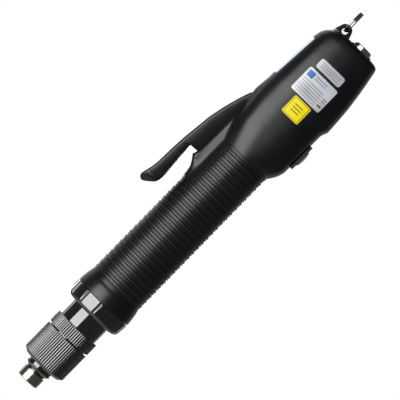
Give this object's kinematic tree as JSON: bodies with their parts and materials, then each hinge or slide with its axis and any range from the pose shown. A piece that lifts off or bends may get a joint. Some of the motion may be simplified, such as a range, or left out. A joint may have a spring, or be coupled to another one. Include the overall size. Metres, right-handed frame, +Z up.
{
  "type": "electric torque screwdriver",
  "caption": "Hand-held electric screwdriver with a torque setting nut, ribbed grip, squeeze lever, reversing rocker and a hang ring; the bit points down.",
  "frame": {"origin": "centre of the bit socket's mouth, on the spindle's lower end face", "axes": "+Z up along the spindle, away from the bit; -Y towards the labelled face; -X towards the start lever"},
  "size_m": [0.0604, 0.04, 0.2788],
  "materials": {
    "black_gloss": "moulded black, fine satin gloss",
    "black_steel": "black oxide, polished",
    "black_ridged": "black anodised, ridged",
    "steel": "ground steel",
    "spring_steel": "drawn wire",
    "brass": "turned",
    "die_cast": "die cast",
    "magnet": "sintered",
    "laminations": "stacked",
    "windings": "enamelled wire",
    "board": "solder mask",
    "board_black": "moulded",
    "switch_blue": "moulded",
    "plunger_red": "moulded",
    "black_matt": "moulded, fine grain",
    "rocker_cream": "moulded",
    "nickel": "bright nickel"
  },
  "bodies": {
    "housing": {"housing_front": "black_gloss", "housing_rear": "black_gloss", "nose_collar": "black_steel", "clutch_tube": "black_steel", "clutch_spring": "spring_steel", "clutch_plate": "steel", "clutch_balls": "steel", "gear_case": "die_cast", "ring_gear": "steel", "spindle_bush": "brass", "stator_core": "laminations", "stator_coils": "windings", "motor_can": "laminations", "motor_flange": "die_cast", "motor_bearings": "steel", "circuit_board": "board", "board_parts": "board_black", "start_switch": "switch_blue", "lever_pin": "steel", "lever_spring": "spring_steel", "rocker_housing": "black_matt", "end_cap": "black_gloss", "hang_lug": "black_steel", "connector_shell": "nickel", "connector_insert": "black_matt", "connector_pins": "brass", "connector_ring": "nickel", "case_screws": "steel"},
    "seat": {"spring_seat": "brass"},
    "nut": {"torque_nut": "black_ridged"},
    "lock": {"lock_ring": "black_ridged"},
    "spindle": {"spindle": "steel", "bit_balls": "steel", "collar_clip": "spring_steel", "carrier_2": "steel", "collar_spring": "spring_steel"},
    "collar": {"bit_collar": "black_steel"},
    "planet_2a": {"planet_2a": "steel"},
    "planet_2b": {"planet_2b": "steel"},
    "planet_2c": {"planet_2c": "steel"},
    "first_carrier": {"carrier_1": "steel"},
    "planet_1a": {"planet_1a": "steel"},
    "planet_1b": {"planet_1b": "steel"},
    "planet_1c": {"planet_1c": "steel"},
    "rotor": {"sun_gear_1": "brass", "motor_shaft": "steel", "rotor_magnet": "magnet"},
    "lever": {"lever": "black_gloss"},
    "plunger": {"switch_plunger": "plunger_red"},
    "rocker": {"rocker": "rocker_cream"},
    "ring": {"hang_ring": "nickel"}
  },
  "joints": [
    {"name": "nut_slide", "type": "slide", "parent": "housing", "child": "seat", "axis": [0, 0, 1], "range_m": [-0.002, 0.004], "deforming": ["clutch_spring"]},
    {"name": "nut_turn", "type": "hinge", "parent": "seat", "child": "nut", "pos_m": [0, 0, 0.022], "axis": [0, 0, 1], "range_deg": [-480, 960]},
    {"name": "lock_turn", "type": "hinge", "parent": "seat", "child": "lock", "pos_m": [0, 0, 0.037], "axis": [0, 0, 1], "range_deg": [-60, 60]},
    {"name": "spindle_spin", "type": "hinge", "parent": "housing", "child": "spindle", "pos_m": [0, 0, 0.03], "axis": [0, 0, 1], "continuous": true},
    {"name": "collar_slide", "type": "slide", "parent": "spindle", "child": "collar", "axis": [0, 0, 1], "range_m": [0, 0.0023], "stiffness_N_per_m": 800, "springref_m": -0.001, "deforming": ["collar_spring"]},
    {"name": "first_carrier_spin", "type": "hinge", "parent": "housing", "child": "first_carrier", "pos_m": [0, 0, 0.077], "axis": [0, 0, 1], "continuous": true},
    {"name": "rotor_spin", "type": "hinge", "parent": "housing", "child": "rotor", "pos_m": [0, 0, 0.12], "axis": [0, 0, 1], "continuous": true},
    {"name": "planet_2a_spin", "type": "hinge", "parent": "spindle", "child": "planet_2a", "pos_m": [0.0072, 0, 0.071], "axis": [0, 0, 1], "continuous": true},
    {"name": "planet_2b_spin", "type": "hinge", "parent": "spindle", "child": "planet_2b", "pos_m": [-0.0036, 0.00624, 0.071], "axis": [0, 0, 1], "continuous": true},
    {"name": "planet_2c_spin", "type": "hinge", "parent": "spindle", "child": "planet_2c", "pos_m": [-0.0036, -0.00624, 0.071], "axis": [0, 0, 1], "continuous": true},
    {"name": "planet_1a_spin", "type": "hinge", "parent": "first_carrier", "child": "planet_1a", "pos_m": [0.0072, 0, 0.082], "axis": [0, 0, 1], "continuous": true},
    {"name": "planet_1b_spin", "type": "hinge", "parent": "first_carrier", "child": "planet_1b", "pos_m": [-0.0036, 0.00624, 0.082], "axis": [0, 0, 1], "continuous": true},
    {"name": "planet_1c_spin", "type": "hinge", "parent": "first_carrier", "child": "planet_1c", "pos_m": [-0.0036, -0.00624, 0.082], "axis": [0, 0, 1], "continuous": true},
    {"name": "lever_press", "type": "hinge", "parent": "housing", "child": "lever", "pos_m": [-0.019, 0, 0.201], "axis": [0, -1, 0], "range_deg": [0, 5], "stiffness_Nm_per_rad": 0.35, "springref_deg": -5.73, "deforming": ["lever_spring"]},
    {"name": "plunger_slide", "type": "slide", "parent": "housing", "child": "plunger", "axis": [1, 0, 0], "range_m": [0, 0.003]},
    {"name": "rocker_tilt", "type": "hinge", "parent": "housing", "child": "rocker", "pos_m": [0.0185, 0, 0.1965], "axis": [0, 1, 0], "range_deg": [-8, 8]},
    {"name": "ring_swing", "type": "hinge", "parent": "housing", "child": "ring", "pos_m": [-0.009, 0, 0.2643], "axis": [0, 1, 0], "range_deg": [-90, 55]}
  ],
  "couplings": [
    {"joint": "nut_slide", "follows": "nut_turn", "m_per_rad": 0.00023873},
    {"joint": "first_carrier_spin", "follows": "spindle_spin", "ratio": 4},
    {"joint": "rotor_spin", "follows": "spindle_spin", "ratio": 16},
    {"joint": "planet_2a_spin", "follows": "spindle_spin", "ratio": -3},
    {"joint": "planet_2b_spin", "follows": "spindle_spin", "ratio": -3},
    {"joint": "planet_2c_spin", "follows": "spindle_spin", "ratio": -3},
    {"joint": "planet_1a_spin", "follows": "spindle_spin", "ratio": -12},
    {"joint": "planet_1b_spin", "follows": "spindle_spin", "ratio": -12},
    {"joint": "planet_1c_spin", "follows": "spindle_spin", "ratio": -12},
    {"joint": "plunger_slide", "follows": "lever_press", "m_per_rad": 0.033}
  ]
}
